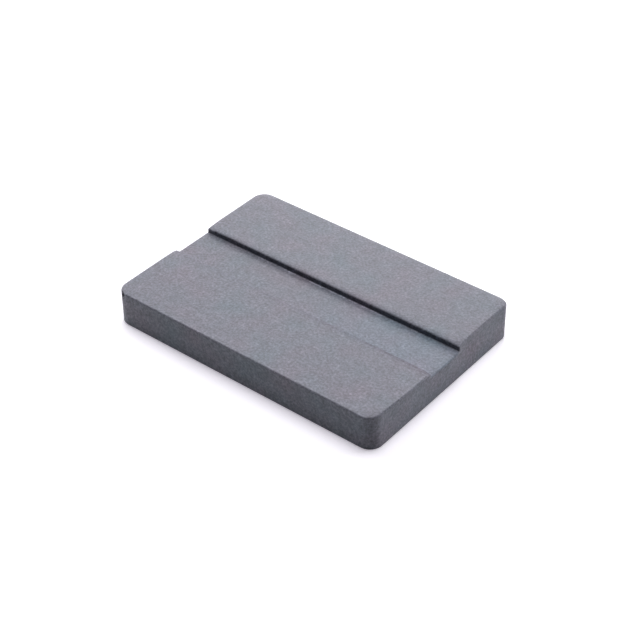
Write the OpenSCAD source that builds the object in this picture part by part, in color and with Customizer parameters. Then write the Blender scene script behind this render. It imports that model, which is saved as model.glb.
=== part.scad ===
// Planar ferrite I core
//
// A flat plate of sintered ferrite, pressed in one piece. It closes the open side of a planar E core:
// the ground underside rests on the E core's legs, and a spring clip lies in the shallow groove along
// the top and holds the two cores together. A land stands on each side of the groove.
//
// Sizes are in millimetres. The origin is the middle of the underside, +X runs along the groove and
// +Z points up, out of the groove.

/* [Plate] */
// Length of the plate, along the groove
plate_len = 22; // [12:0.1:40]
// Width of the plate, across the groove
plate_w = 15.6; // [10:0.1:30]
// Thickness of the plate over its lands
plate_t = 2.6; // [1.2:0.1:6]
// Radius of the four upright corners
corner_r = 1; // [0.4:0.1:3]

/* [Clip groove] */
// Width of the groove between its walls
groove_w = 3.3; // [1:0.1:6]
// Depth of the groove below the lands
groove_d = 0.38; // [0.2:0.02:0.8]
// Radius in the foot of each groove wall
foot_r = 0.04; // [0.02:0.02:0.2]
// Rounding of the lands' edges along the groove
mouth_r = 0.12; // [0.04:0.02:0.3]

/* [Edges] */
// Rounding of the edges round the top, left by the press and the tumbling
edge_r = 0.12; // [0.04:0.02:0.3]

/* [Hidden] */
$fn = 96;
ferrite_grey = [0.53, 0.53, 0.57];
// How far the cutting shapes stand clear of the plate
clear = 1;
floor_z = plate_t - groove_d;
// The two roundings on a groove wall leave part of the wall upright, however shallow the groove is
mouth_round = min(mouth_r, 0.6 * groove_d);
foot_round = min(foot_r, 0.3 * groove_d);

// Section of a slab that stands on the x axis, with its two top edges rounded
module slab_section(width) {
    round_x = width / 2 - edge_r;
    translate([-width / 2, 0]) square([width, plate_t - edge_r]);
    translate([-round_x, 0]) square([2 * round_x, plate_t]);
    for (side = [-1, 1]) {
        translate([side * round_x, plate_t - edge_r]) circle(edge_r);
    }
}

// Round post of one upright corner, with the same rounding round its top
module corner_post() {
    rotate_extrude() intersection() {
        slab_section(2 * corner_r);
        square([corner_r, plate_t]);
    }
}

// Blank of the plate: two crossed slabs and a post in each corner
module plate_blank() {
    post_x = plate_len / 2 - corner_r;
    post_y = plate_w / 2 - corner_r;
    rotate([90, 0, 90]) linear_extrude(2 * post_x, center = true) slab_section(plate_w);
    rotate([90, 0, 0]) linear_extrude(2 * post_y, center = true) slab_section(plate_len);
    for (sx = [-1, 1], sy = [-1, 1]) {
        translate([sx * post_x, sy * post_y, 0]) corner_post();
    }
}

// Section of the groove: upright walls, a rounded foot and a mouth that flares over the lands' edges
module groove_section() {
    foot_x = groove_w / 2 - foot_round;
    translate([-foot_x, floor_z]) square([2 * foot_x, groove_d + clear]);
    translate([-groove_w / 2, floor_z + foot_round]) square([groove_w, groove_d - foot_round + clear]);
    for (side = [-1, 1]) {
        translate([side * foot_x, floor_z + foot_round]) circle(foot_round);
        mirror([side < 0 ? 1 : 0, 0]) translate([groove_w / 2, plate_t - mouth_round]) difference() {
            square([mouth_round, mouth_round + clear]);
            translate([mouth_round, 0]) circle(mouth_round);
        }
    }
}

module groove_cut() {
    rotate([90, 0, 90]) linear_extrude(plate_len + 2 * clear, center = true) groove_section();
}

// Rounds the floor's edge at the end of the groove, on the +X side
module floor_end_cut() {
    floor_w = groove_w - 2 * foot_round;
    translate([plate_len / 2 - edge_r, 0, floor_z - edge_r]) rotate([90, 0, 0])
        linear_extrude(floor_w, center = true) difference() {
            square([edge_r + clear, edge_r + clear]);
            circle(edge_r);
        }
}

module i_core() {
    color(ferrite_grey) difference() {
        plate_blank();
        groove_cut();
        for (end = [0, 1]) {
            mirror([end, 0, 0]) floor_end_cut();
        }
    }
}

i_core();
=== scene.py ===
import math

import bmesh
import bpy
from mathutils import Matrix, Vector


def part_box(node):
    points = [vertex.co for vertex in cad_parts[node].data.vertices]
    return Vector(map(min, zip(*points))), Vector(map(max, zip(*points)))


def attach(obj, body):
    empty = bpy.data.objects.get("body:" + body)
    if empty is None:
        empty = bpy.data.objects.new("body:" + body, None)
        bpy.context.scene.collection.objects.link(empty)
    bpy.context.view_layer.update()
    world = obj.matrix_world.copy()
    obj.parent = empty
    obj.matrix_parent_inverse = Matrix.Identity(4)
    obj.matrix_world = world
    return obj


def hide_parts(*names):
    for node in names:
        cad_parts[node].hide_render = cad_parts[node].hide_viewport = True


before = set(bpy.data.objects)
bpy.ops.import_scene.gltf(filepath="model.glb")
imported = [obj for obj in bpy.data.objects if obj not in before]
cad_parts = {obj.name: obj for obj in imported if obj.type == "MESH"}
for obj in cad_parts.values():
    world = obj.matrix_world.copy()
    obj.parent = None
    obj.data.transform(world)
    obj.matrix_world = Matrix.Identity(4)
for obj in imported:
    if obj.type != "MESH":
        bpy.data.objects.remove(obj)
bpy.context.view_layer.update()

mm = 0.001
scene = bpy.context.scene

# angles in degrees: azimuth from the -Y side towards +X, elevation up from the floor
cameraLook = {
    "azimuth": 38.407,
    "elevation": 37.996,
    "distance": 109.48 * mm,
    "aim": Vector((0.221, 0.503, 0.329)) * mm,
    "lens": 89.65,
    "sensor": 36,
    "nearest": 1 * mm,
    "farthest": 10,
}


def placeFacing(thing, aim, azimuth, elevation, distance):
    # stands a camera or a lamp off from the aim and turns it back to it
    a = math.radians(azimuth)
    e = math.radians(elevation)
    back = Vector((math.sin(a) * math.cos(e), -math.cos(a) * math.cos(e), math.sin(e)))
    thing.location = aim + back * distance
    thing.rotation_euler = (-back).to_track_quat("-Z", "Y").to_euler()
    scene.collection.objects.link(thing)


def addCamera(look):
    data = bpy.data.cameras.new("photoCamera")
    data.lens = look["lens"]
    data.sensor_width = look["sensor"]
    data.clip_start = look["nearest"]
    data.clip_end = look["farthest"]
    scene.camera = bpy.data.objects.new("photoCamera", data)
    placeFacing(scene.camera, look["aim"], look["azimuth"], look["elevation"], look["distance"])


addCamera(cameraLook)
print("camera placed")

# angles as for the camera, power in watts
softboxes = {
    "overheadBack": {"azimuth": 180, "elevation": 76, "power": 0.92},
    "overheadLeft": {"azimuth": 225, "elevation": 76, "power": 1.03},
    "backMiddle": {"azimuth": 210, "elevation": 28, "power": 1.81},
    "backLeft": {"azimuth": 240, "elevation": 28, "power": 0.84},
    "backRightLow": {"azimuth": 150, "elevation": 10, "power": 2.0},
    "leftLow": {"azimuth": 270, "elevation": 18, "power": 1.5},
}
softboxStand = {"distance": 0.6, "size": 0.30}      # metres, the same for every softbox


def addSoftbox(name, box):
    data = bpy.data.lights.new(name, "AREA")
    data.shape = "DISK"
    data.size = softboxStand["size"]
    data.energy = box["power"]
    lamp = bpy.data.objects.new(name, data)
    lamp.visible_camera = False
    placeFacing(lamp, Vector(), box["azimuth"], box["elevation"], softboxStand["distance"])


for name, box in softboxes.items():
    addSoftbox(name, box)
print("lamps placed:", ", ".join(softboxes))


def plug(tree, value, socket):
    # another node's output is linked to the socket, anything else is its value
    if isinstance(value, bpy.types.NodeSocket):
        tree.links.new(value, socket)
    else:
        socket.default_value = value


def addNode(tree, kind, settings=None, sockets=None):
    node = tree.nodes.new("ShaderNode" + kind)
    for name, value in (settings or {}).items():
        setattr(node, name, value)
    for name, value in (sockets or {}).items():
        plug(tree, value, node.inputs[name])
    return node


def addMath(tree, operation, *values):
    return addNode(tree, "Math", {"operation": operation}, dict(enumerate(values))).outputs["Value"]


def addVectorMath(tree, operation, *values):
    node = addNode(tree, "VectorMath", {"operation": operation}, dict(enumerate(values)))
    return node.outputs["Value" if operation in ("LENGTH", "DISTANCE") else "Vector"]


def addNoise(tree, place, scale, detail, roughness=0.5):
    sockets = {"Vector": place, "Scale": scale, "Detail": detail, "Roughness": roughness}
    return addNode(tree, "TexNoise", sockets=sockets).outputs["Fac"]


def addRamp(tree, value, start, end, low=0, high=1, course="SMOOTHSTEP"):
    # low up to the start, high from the end on
    sockets = {"Value": value, "From Min": start, "From Max": end, "To Min": low, "To Max": high}
    return addNode(tree, "MapRange", {"interpolation_type": course}, sockets).outputs["Result"]


def addBlend(tree, first, second, share):
    sockets = {"Factor": share, "A": first, "B": second}
    return addNode(tree, "Mix", {"data_type": "FLOAT"}, sockets).outputs["Result"]


def addSeenRays(tree):
    # 1 for rays that show the background as such, 0 for rays that carry light
    rays = addNode(tree, "LightPath").outputs
    mirrored = addMath(tree, "MAXIMUM", rays["Is Glossy Ray"], rays["Is Transmission Ray"])
    return addMath(tree, "MAXIMUM", rays["Is Camera Ray"], mirrored)


def addWorld():
    world = bpy.data.worlds.new("studio")
    scene.world = world
    world.use_nodes = True
    background = world.node_tree.nodes["Background"]
    background.inputs["Color"].default_value = (1, 1, 1, 1)
    plug(world.node_tree, addSeenRays(world.node_tree), background.inputs["Strength"])


addWorld()

floorSheet = {
    "half": 0.25,                       # metres from the middle to each side
    "color": (0.84, 0.84, 0.85),
    "roughness": 0.9,
    "glow": 0.515,                      # lifts the floor to white where it is seen or mirrored
    "glowTint": (1.0, 0.955, 1.06),
    "nookReach": 0.45 * mm,             # how far from the plate it keeps some of the glow off
    "nookShare": 0.45,                  # how much of it
    "nookSamples": 4,
}


def makePaper():
    material = bpy.data.materials.new("paper")
    material.use_nodes = True
    tree = material.node_tree
    shader = tree.nodes["Principled BSDF"].inputs
    shader["Base Color"].default_value = (*floorSheet["color"], 1)
    shader["Roughness"].default_value = floorSheet["roughness"]
    shader["Specular IOR Level"].default_value = 0
    shader["Emission Color"].default_value = (*floorSheet["glowTint"], 1)
    # the glow stands for light from all round, which is dimmer in the nook beside the plate
    samples = {"samples": floorSheet["nookSamples"]}
    nook = addNode(tree, "AmbientOcclusion", samples, {"Distance": floorSheet["nookReach"]}).outputs["AO"]
    shaded = floorSheet["nookShare"] * floorSheet["glow"]
    glow = addMath(tree, "MULTIPLY_ADD", nook, shaded, floorSheet["glow"] - shaded)
    plug(tree, addMath(tree, "MULTIPLY", addSeenRays(tree), glow), shader["Emission Strength"])
    return material


def addFloor():
    mesh = bpy.data.meshes.new("floor")
    bm = bmesh.new()
    bmesh.ops.create_grid(bm, x_segments=1, y_segments=1, size=floorSheet["half"])
    bm.to_mesh(mesh)
    bm.free()
    mesh.materials.append(makePaper())
    floor = bpy.data.objects.new("floor", mesh)
    scene.collection.objects.link(floor)


addFloor()
print("floor and backdrop ready")

noiseMiddle = 0.5       # the value that a noise texture swings about


def newGroup(name, inputs, outputs):
    tree = bpy.data.node_groups.new(name, "ShaderNodeTree")
    for label, kind in inputs.items():
        tree.interface.new_socket(label, in_out="INPUT", socket_type="NodeSocket" + kind)
    for label, kind in outputs.items():
        tree.interface.new_socket(label, in_out="OUTPUT", socket_type="NodeSocket" + kind)
    return tree, tree.nodes.new("NodeGroupInput").outputs, tree.nodes.new("NodeGroupOutput").inputs


powder = {
    "octaves": 4, "falloff": 0.65,
    "clumpScale": 0.31,                 # of the grains' own scale
    "clumpOctaves": 2, "clumpShare": 0.2,
}


def makeSinterGrain():
    # fine speckle of the sintered powder: a tone round 1, as far up as down, and a height for bump
    tree, given, result = newGroup(
        "sinterGrain",
        {"Place": "Vector", "Grains": "Float", "Contrast": "Float"},
        {"Tone": "Float", "Height": "Float"},
    )
    fine = addNoise(tree, given["Place"], given["Grains"], powder["octaves"], powder["falloff"])
    coarser = addMath(tree, "MULTIPLY", given["Grains"], powder["clumpScale"])
    clumps = addNoise(tree, given["Place"], coarser, powder["clumpOctaves"])
    grain = addBlend(tree, fine, clumps, powder["clumpShare"])
    swing = addMath(tree, "SUBTRACT", grain, noiseMiddle)
    tone = addMath(tree, "EXPONENT", addMath(tree, "MULTIPLY", swing, given["Contrast"]))
    plug(tree, tone, result["Tone"])
    plug(tree, grain, result["Height"])
    return tree


driftOctaves = 1.5


def makeTintDrift():
    # slow drift of the tint round 1, as pressed powder has after firing
    tree, given, result = newGroup(
        "tintDrift",
        {"Place": "Vector", "Patches": "Float", "Swing": "Vector"},
        {"Tint": "Color"},
    )
    patches = addNoise(tree, given["Place"], given["Patches"], driftOctaves)
    drift = addMath(tree, "SUBTRACT", patches, noiseMiddle)
    plug(tree, addVectorMath(tree, "MULTIPLY_ADD", drift, given["Swing"], (1, 1, 1)), result["Tint"])
    return tree


edgeWearAndShade = {
    "octaves": 2,
    "raggedScale": 2600,                # how finely the rubbed rim frays
    "jaggedScale": 6500,                # and the border of the chip
    "jagged": 1.5,                      # how far that border wanders, in reaches of the chip
    "chipFull": 0.45, "chipEnd": 0.8,   # reaches from the chip's middle
    "cornerStart": 0.15, "cornerFull": 0.4,     # shares of the corner's radius
}


def makeEdgeRubAndShade():
    # Rim is 1 along the outer edges, Chip in the broken spot and Upright on the four upright corners; Chip
    # and Upright carry painted shade
    tree, given, result = newGroup(
        "edgeRubAndShade",
        {"Place": "Vector", "Straight": "Vector", "Corner": "Float", "Top": "Float", "Reach": "Float",
         "Broken": "Vector", "Broken Reach": "Float"},
        {"Rim": "Float", "Chip": "Float", "Upright": "Float"},
    )

    # distance in from the rounded outline, seen from above
    folded = addVectorMath(tree, "ABSOLUTE", given["Place"])
    beyond = addVectorMath(tree, "SUBTRACT", folded, given["Straight"])
    flat = addVectorMath(tree, "MULTIPLY", beyond, (1, 1, 0))
    arc = addVectorMath(tree, "LENGTH", addVectorMath(tree, "MAXIMUM", flat, (0, 0, 0)))
    sides = addNode(tree, "SeparateXYZ", sockets={"Vector": flat}).outputs
    nearer = addMath(tree, "MINIMUM", addMath(tree, "MAXIMUM", sides["X"], sides["Y"]), 0)
    inset = addMath(tree, "SUBTRACT", addMath(tree, "SUBTRACT", given["Corner"], arc), nearer)

    # and from there up to the top or down to the underside
    height = addNode(tree, "SeparateXYZ", sockets={"Vector": folded}).outputs["Z"]
    below = addMath(tree, "SUBTRACT", given["Top"], height)
    away = addMath(tree, "ADD", inset, addMath(tree, "MINIMUM", below, height))
    ragged = addNoise(tree, given["Place"], edgeWearAndShade["raggedScale"], edgeWearAndShade["octaves"])
    frayed = addMath(tree, "MULTIPLY", addMath(tree, "SUBTRACT", ragged, noiseMiddle), given["Reach"])
    rim = addRamp(tree, addMath(tree, "ADD", away, frayed), 0, given["Reach"], 1, 0)
    plug(tree, rim, result["Rim"])

    # painted shade in the broken spot
    apart = addVectorMath(tree, "DISTANCE", given["Place"], given["Broken"])
    reaches = addMath(tree, "DIVIDE", apart, given["Broken Reach"])
    jagged = addNoise(tree, given["Place"], edgeWearAndShade["jaggedScale"], edgeWearAndShade["octaves"])
    uneven = addMath(tree, "MULTIPLY", addMath(tree, "SUBTRACT", jagged, noiseMiddle), edgeWearAndShade["jagged"])
    border = addMath(tree, "ADD", reaches, uneven)
    chip = addRamp(tree, border, edgeWearAndShade["chipFull"], edgeWearAndShade["chipEnd"], 1, 0)
    plug(tree, chip, result["Chip"])

    # painted shade on the upright corners
    around = addMath(tree, "MINIMUM", sides["X"], sides["Y"])
    start = addMath(tree, "MULTIPLY", given["Corner"], edgeWearAndShade["cornerStart"])
    full = addMath(tree, "MULTIPLY", given["Corner"], edgeWearAndShade["cornerFull"])
    plug(tree, addRamp(tree, around, start, full), result["Upright"])
    return tree


clipWear = {
    "floorNarrower": 20,                # times, the painted shade's strip on the floor against the one on the lands
    "mouthPower": 2.5,                  # how steeply the painted shade at the mouths fades
    "leastShare": 0.5,                  # of the painted shade at the mouths where it is least, towards -X
    "footScale": 2200, "footOctaves": 1,
    "footGap": 0.3, "footFull": 0.6,    # noise values between which the painted highlight along the foot breaks up
}


def makeGrooveLightAndTint():
    # painted shade on the dull Mouth edges and a Floor mask, both stronger towards +X,
    # and a painted highlight along the Foot of the +Y wall, which fades out towards the ends
    tree, given, result = newGroup(
        "clipRub",
        {"Place": "Vector", "Groove": "Float", "Mouth Reach": "Float", "Foot Reach": "Float",
         "Foot Length": "Float", "Faint": "Float", "Full": "Float"},
        {"Mouth": "Float", "Foot": "Float", "Floor": "Float"},
    )
    spot = addNode(tree, "SeparateXYZ", sockets={"Vector": given["Place"]}).outputs
    towardsPlusX = addRamp(tree, spot["X"], given["Faint"], given["Full"])
    outward = addMath(tree, "SUBTRACT", addMath(tree, "ABSOLUTE", spot["Y"]), given["Groove"])

    # painted shade along the mouths, reaching a little onto the floor
    within = addMath(tree, "MULTIPLY", outward, -1)
    onFloor = addMath(tree, "MULTIPLY", within, clipWear["floorNarrower"])
    apart = addMath(tree, "MAXIMUM", outward, onFloor)
    fade = addRamp(tree, apart, 0, given["Mouth Reach"], 1, 0, "LINEAR")
    mouthShade = addMath(tree, "POWER", fade, clipWear["mouthPower"])
    share = addRamp(tree, towardsPlusX, 0, 1, clipWear["leastShare"], 1, "LINEAR")
    plug(tree, addMath(tree, "MULTIPLY", mouthShade, share), result["Mouth"])

    # a painted highlight along the foot of the +Y wall
    inward = addMath(tree, "SUBTRACT", given["Groove"], spot["Y"])
    off = addMath(tree, "ABSOLUTE", addMath(tree, "SUBTRACT", inward, given["Foot Reach"]))
    line = addRamp(tree, off, 0, given["Foot Reach"], 1, 0, "LINEAR")
    ends = addRamp(tree, addMath(tree, "ABSOLUTE", spot["X"]), 0, given["Foot Length"], 1, 0)
    ragged = addNoise(tree, given["Place"], clipWear["footScale"], clipWear["footOctaves"])
    broken = addRamp(tree, ragged, clipWear["footGap"], clipWear["footFull"], course="LINEAR")
    footHighlight = addMath(tree, "MULTIPLY", addMath(tree, "MULTIPLY", line, ends), broken)
    plug(tree, footHighlight, result["Foot"])

    floor = addRamp(tree, within, 0, given["Foot Reach"], course="LINEAR")
    plug(tree, addMath(tree, "MULTIPLY", floor, towardsPlusX), result["Floor"])
    return tree


lineNoise = {"octaves": 3, "falloff": 0.55}


def makeDrawLines():
    # fine lines left by the die or the grinding wheel, stretched one way
    tree, given, result = newGroup(
        "drawLines",
        {"Place": "Vector", "Stretch": "Vector", "Contrast": "Float"},
        {"Tone": "Float", "Height": "Float"},
    )
    drawn = addVectorMath(tree, "MULTIPLY", given["Place"], given["Stretch"])
    lines = addNoise(tree, drawn, 1, lineNoise["octaves"], lineNoise["falloff"])
    swing = addMath(tree, "SUBTRACT", lines, noiseMiddle)
    plug(tree, addMath(tree, "MULTIPLY_ADD", swing, given["Contrast"], 1), result["Tone"])
    plug(tree, lines, result["Height"])
    return tree


sinterGrain = makeSinterGrain()
tintDrift = makeTintDrift()
edgeRubAndShade = makeEdgeRubAndShade()
clipRub = makeGrooveLightAndTint()
drawLines = makeDrawLines()
print("node groups made")

plateLow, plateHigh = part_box("i_core")
plate = {
    "length": plateHigh.x - plateLow.x,
    "width": plateHigh.y - plateLow.y,
    "height": plateHigh.z - plateLow.z,
    "grooveWidth": 3.3 * mm,
    "grooveDepth": 0.38 * mm,
    "cornerRound": 1.0 * mm, "cornerSteps": 16,     # the four upright corners
    "mouthRound": 0.12 * mm, "mouthSteps": 6,       # land into groove wall
    "footRound": 0.04 * mm, "footSteps": 4,         # groove wall into floor
    "edgeRound": 0.12 * mm, "edgeSteps": 4,         # all round the top
    "arris": 0.08 * mm, "arrisSteps": 3,            # all round the ground underside
    "sharpAngle": 1.2,                  # radians, edges above it are rounded
    "closeGap": 0.006 * mm,             # points nearer than this are merged
    "cutGap": 0.005 * mm,               # and a cut passes through points nearer than this
    "cell": 0.8 * mm,                   # spacing of the cuts that keep the faces small
    "wallCuts": (0.65, 1.3, 1.95, 2.1, 2.2, 2.3, 2.4),      # heights in mm, closest round the chip
    "underSlope": -0.7,                 # faces that look further down than this are the underside
    "topSlope": 0.5,                    # and those that look further up than this are the top
    "wallSlope": 0.5,                   # a groove wall looks further across the plate than this
}
halfLength = plate["length"] / 2
halfWidth = plate["width"] / 2
halfGroove = plate["grooveWidth"] / 2
top = plate["height"]
grooveFloor = top - plate["grooveDepth"]

plateWear = {
    "rubReach": 0.35 * mm,              # width of the rubbed strip along the outer edges
    # a broken spot on the top edge, measured in from the -X end and the -Y side and down from the top
    "chip": Vector((0.60 * mm - halfLength, 0.08 * mm - halfWidth, top - 0.24 * mm)),
    "chipReach": 0.36 * mm,
    "chipDepth": 0.14 * mm,
    "leanReach": 2.4 * mm,              # the +X end leans in towards its top over this length
    # place across the plate and lean there, in mm
    "endLean": (
        (-7.8, 0.18), (-6.8, 0.16), (-4.2, 0), (1.5, 0), (1.9, 0.2), (6.8, 0.2), (7.4, 0.03), (7.6, 0),
    ),
    # the tips where the lands meet the groove: end, side, and how far and deep they are worn, in mm
    "wornTips": ((-1, -1, 0.6, 0.08), (-1, 1, 0.9, 0.08), (1, -1, 0.8, 0.09), (1, 1, 0.6, 0.05)),
}

# drift, grain, the groove's painted shade, highlight and tint, and lines are the inputs of their node
# groups,
# and each mark has its share of the tone and of the roughness
ferriteFinishes = {
    "pressedFace": {
        "grey": (0.161, 0.163, 0.202), "drift": {"Patches": 390, "Swing": (-0.34, 0.08, 0.03)},
        "grain": {"Grains": 5800, "Contrast": 2.9}, "bump": 0.25, "depth": 0.02 * mm,
        "roughness": 0.50, "specular": 0.22, "roughSwing": 0.16,
        # the Chip and Mouth tones are painted shade, the Foot tone a painted highlight
        "marks": {"Rim": (0.04, -0.08), "Chip": (-0.7, 0.4), "Mouth": (-0.18, 0.35), "Foot": (1.8, 0)},
        "clip": {
            "Mouth Reach": 0.7 * mm, "Foot Reach": 0.09 * mm, "Foot Length": 10 * mm,
            "Faint": -3 * mm, "Full": 8 * mm,               # where along the plate the mouths' painted shade and the floor's tint grow to full
        },
        # the groove floor lighter and bluer towards +X
        "floorTint": (1.0, 1.09, 1.12),
    },
    "dieWall": {
        "grey": (0.161, 0.168, 0.204), "drift": {"Patches": 390, "Swing": (-0.36, 0.09, 0.03)},
        "grain": {"Grains": 6200, "Contrast": 3.0}, "bump": 0.25, "depth": 0.02 * mm,
        "roughness": 0.50, "specular": 0.22, "roughSwing": 0.16,
        # the Chip and Upright tones here are painted shade
        "marks": {"Rim": (-0.05, -0.08), "Chip": (-0.7, 0.4), "Upright": (-0.12, 0)},
        "lines": {"Stretch": (5200, 5200, 300), "Contrast": 0.12},      # drag of the die, upright
    },
    "grooveWall": {
        # the grey, about half the dieWall's and bluer, is painted shade on the groove walls
        "grey": (0.078, 0.082, 0.106), "drift": {"Patches": 390, "Swing": (-0.34, 0.08, 0.03)},
        "grain": {"Grains": 5800, "Contrast": 4.0}, "bump": 0.3, "depth": 0.02 * mm,
        "roughness": 0.65, "specular": 0.2, "roughSwing": 0.16,
        "marks": {},                    # out of reach of any rubbing
    },
    "groundFace": {
        "grey": (0.148, 0.152, 0.174), "drift": {"Patches": 300, "Swing": (-0.24, 0.06, 0.02)},
        "grain": {"Grains": 8200, "Contrast": 0.9}, "bump": 0.2, "depth": 0.012 * mm,
        "roughness": 0.42, "specular": 0.2, "roughSwing": 0.2,
        "marks": {"Rim": (-0.06, 0.06)},
        "lines": {"Stretch": (260, 11000, 11000), "Contrast": 0.45},    # grinding marks along the plate
    },
}
lineShare = 0.5         # of the lines in the bump, beside the grain


def placeGroup(tree, group, place, sockets):
    return addNode(tree, "Group", {"node_tree": group}, {"Place": place, **sockets}).outputs


def tinted(tree, color, tint, share=1):
    # colour times tint, all of it or by the given share
    settings = {"data_type": "RGBA", "blend_type": "MULTIPLY"}
    return addNode(tree, "Mix", settings, {"Factor": share, "A": color, "B": tint}).outputs["Result"]


def addShare(tree, total, mask, share):
    return addMath(tree, "MULTIPLY_ADD", mask, share, total) if share else total


def makeFerrite(name, finish):
    material = bpy.data.materials.new(name)
    material.use_nodes = True
    tree = material.node_tree
    shader = tree.nodes["Principled BSDF"].inputs
    shader["Specular IOR Level"].default_value = finish["specular"]
    place = addNode(tree, "TexCoord").outputs["Object"]

    grain = placeGroup(tree, sinterGrain, place, finish["grain"])
    drift = placeGroup(tree, tintDrift, place, finish["drift"])
    height = grain["Height"]
    color = tinted(tree, (*finish["grey"], 1), drift["Tint"])
    masks = {}
    if finish["marks"]:
        rub = placeGroup(tree, edgeRubAndShade, place, {
            "Straight": (halfLength - plate["cornerRound"], halfWidth - plate["cornerRound"], 0),
            "Corner": plate["cornerRound"], "Top": top, "Reach": plateWear["rubReach"],
            "Broken": plateWear["chip"], "Broken Reach": plateWear["chipReach"],
        })
        masks.update(rub.items())
    if "clip" in finish:
        clip = placeGroup(tree, clipRub, place, {"Groove": halfGroove, **finish["clip"]})
        masks.update(clip.items())
        # the groove floor lighter and bluer towards +X
        color = tinted(tree, color, (*finish["floorTint"], 1), clip["Floor"])

    tone = 1
    rough = finish["roughness"]
    for mark, (toneShare, roughShare) in finish["marks"].items():
        tone = addShare(tree, tone, masks[mark], toneShare)
        rough = addShare(tree, rough, masks[mark], roughShare)
    if "lines" in finish:
        lines = placeGroup(tree, drawLines, place, finish["lines"])
        tone = addMath(tree, "MULTIPLY", tone, lines["Tone"])
        height = addBlend(tree, height, lines["Height"], lineShare)
    tone = addMath(tree, "MULTIPLY", tone, grain["Tone"])
    plug(tree, tinted(tree, color, tone), shader["Base Color"])

    uneven = addMath(tree, "SUBTRACT", height, noiseMiddle)
    plug(tree, addShare(tree, rough, uneven, finish["roughSwing"]), shader["Roughness"])
    sockets = {"Strength": finish["bump"], "Distance": finish["depth"], "Height": height}
    plug(tree, addNode(tree, "Bump", sockets=sockets).outputs["Normal"], shader["Normal"])
    return material


def roundOff(bm, geometry, radius, segments, affect="EDGES"):
    bmesh.ops.bevel(
        bm, geom=geometry, offset=radius, offset_type="OFFSET", segments=segments,
        profile=0.5, affect=affect, material=-1, clamp_overlap=False,
    )


def drawBlank(bm):
    # the section across the plate, its groove already rounded, drawn out along X
    outline = [
        (-halfWidth, 0), (halfWidth, 0), (halfWidth, top), (halfGroove, top), (halfGroove, grooveFloor),
        (-halfGroove, grooveFloor), (-halfGroove, top), (-halfWidth, top),
    ]
    corners = [bm.verts.new((-halfLength, y, z)) for y, z in outline]
    bm.faces.new(corners)
    mouths = [corners[3], corners[6]]
    feet = [corners[4], corners[5]]
    roundOff(bm, mouths, plate["mouthRound"], plate["mouthSteps"], "VERTICES")
    roundOff(bm, feet, plate["footRound"], plate["footSteps"], "VERTICES")
    drawn = bmesh.ops.extrude_face_region(bm, geom=bm.faces[:])
    farEnd = [v for v in drawn["geom"] if isinstance(v, bmesh.types.BMVert)]
    bmesh.ops.translate(bm, verts=farEnd, vec=(plate["length"], 0, 0))
    bmesh.ops.recalc_face_normals(bm, faces=bm.faces)


def sharpEdges(bm):
    return [e for e in bm.edges if e.calc_face_angle(0) > plate["sharpAngle"]]


def roundEdges(bm):
    middle = top / 2
    upright = [e for e in sharpEdges(bm) if abs(e.verts[0].co.z - e.verts[1].co.z) > middle]
    roundOff(bm, upright, plate["cornerRound"], plate["cornerSteps"])
    rim = [e for e in sharpEdges(bm) if max(v.co.z for v in e.verts) > middle]
    roundOff(bm, rim, plate["edgeRound"], plate["edgeSteps"])
    # the mouths' arcs close to a point at the ends of the groove
    bmesh.ops.remove_doubles(bm, verts=bm.verts, dist=plate["closeGap"])
    under = [e for e in sharpEdges(bm) if max(v.co.z for v in e.verts) < middle]
    roundOff(bm, under, plate["arris"], plate["arrisSteps"])
    print("plate rounded:", len(bm.verts), "vertices, open edges", sum(not e.is_manifold for e in bm.edges))


def cutAt(bm, axis, distance):
    place = Vector()
    direction = Vector()
    place[axis] = distance
    direction[axis] = 1
    everything = bm.verts[:] + bm.edges[:] + bm.faces[:]
    bmesh.ops.bisect_plane(bm, geom=everything, dist=plate["cutGap"], plane_co=place, plane_no=direction)


def cutFaces(bm):
    # cuts across, along and up, so that no face is long and thin
    for axis, reach in ((0, halfLength), (1, halfWidth)):
        count = round(2 * reach / plate["cell"])
        for step in range(1, count):
            cutAt(bm, axis, -reach + 2 * reach * step / count)
    for height in plate["wallCuts"]:
        cutAt(bm, 2, height * mm)


def dentAt(away, depth):
    # a round dent, away measured in reaches from its middle
    return depth * (1 - away * away) ** 2 if away < 1 else 0


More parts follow.
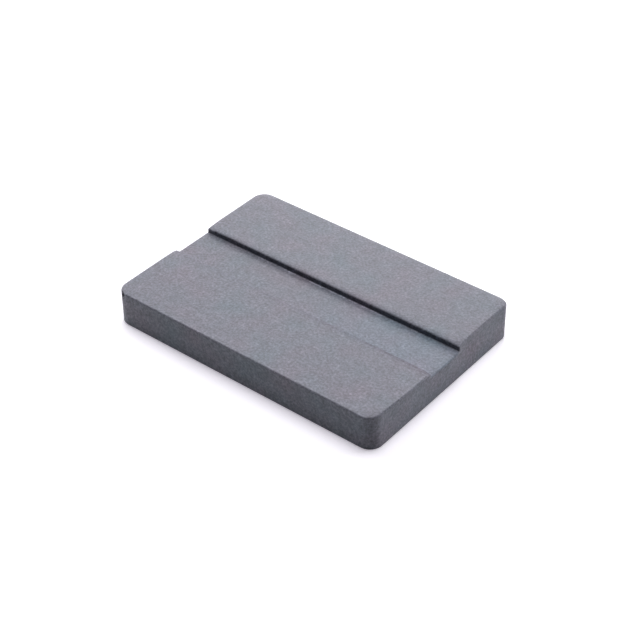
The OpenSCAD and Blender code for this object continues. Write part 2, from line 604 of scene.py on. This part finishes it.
def chipAt(place):
    away = (place - plateWear["chip"]).length / plateWear["chipReach"]
    return dentAt(away, plateWear["chipDepth"])


def leanAt(y):
    stations = plateWear["endLean"]
    for (fromY, fromLean), (toY, toLean) in zip(stations, stations[1:]):
        if y <= toY * mm:
            share = max(0, (y / mm - fromY) / (toY - fromY))
            return (fromLean + (toLean - fromLean) * share) * mm
    return stations[-1][1] * mm


def wornAt(place):
    worn = 0
    for end, side, reach, depth in plateWear["wornTips"]:
        away = math.hypot(place.x - end * halfLength, place.y - side * halfGroove) / (reach * mm)
        worn += dentAt(away, depth * mm)
    return worn


def wearDown(bm):
    chipInward = Vector((-plateWear["chip"].x, -plateWear["chip"].y, 0)).normalized()
    for vert in bm.verts:
        vert.co += chipInward * chipAt(vert.co)
        share = (vert.co.x - halfLength) / plateWear["leanReach"] + 1
        if share > 0:
            vert.co.x -= leanAt(vert.co.y) * share * share * vert.co.z / top
        above = (vert.co.z - grooveFloor) / plate["grooveDepth"]
        if above > 0:
            vert.co.z -= wornAt(vert.co) * above
    bm.normal_update()


def finishOf(face):
    if face.normal.z < plate["underSlope"]:
        return "groundFace"
    if face.normal.z >= plate["topSlope"]:
        return "pressedFace"
    inGroove = abs(face.calc_center_median().y) < halfGroove + plate["mouthRound"]
    isWall = abs(face.normal.y) > plate["wallSlope"]
    return "grooveWall" if inGroove and isWall else "dieWall"


def makePlate():
    bm = bmesh.new()
    drawBlank(bm)
    roundEdges(bm)
    cutFaces(bm)
    wearDown(bm)
    finishNames = list(ferriteFinishes)
    for face in bm.faces:
        face.smooth = True
        face.material_index = finishNames.index(finishOf(face))
    mesh = bpy.data.meshes.new("ferrite_plate")
    bm.to_mesh(mesh)
    bm.free()
    for name, finish in ferriteFinishes.items():
        mesh.materials.append(makeFerrite(name, finish))
    piece = bpy.data.objects.new("ferrite_plate", mesh)
    scene.collection.objects.link(piece)
    piece.modifiers.new("evenNormals", "WEIGHTED_NORMAL")
    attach(piece, "root")
    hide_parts("i_core")
    print("plate made:", len(mesh.polygons), "faces")


makePlate()

scene.view_settings.view_transform = "Standard"
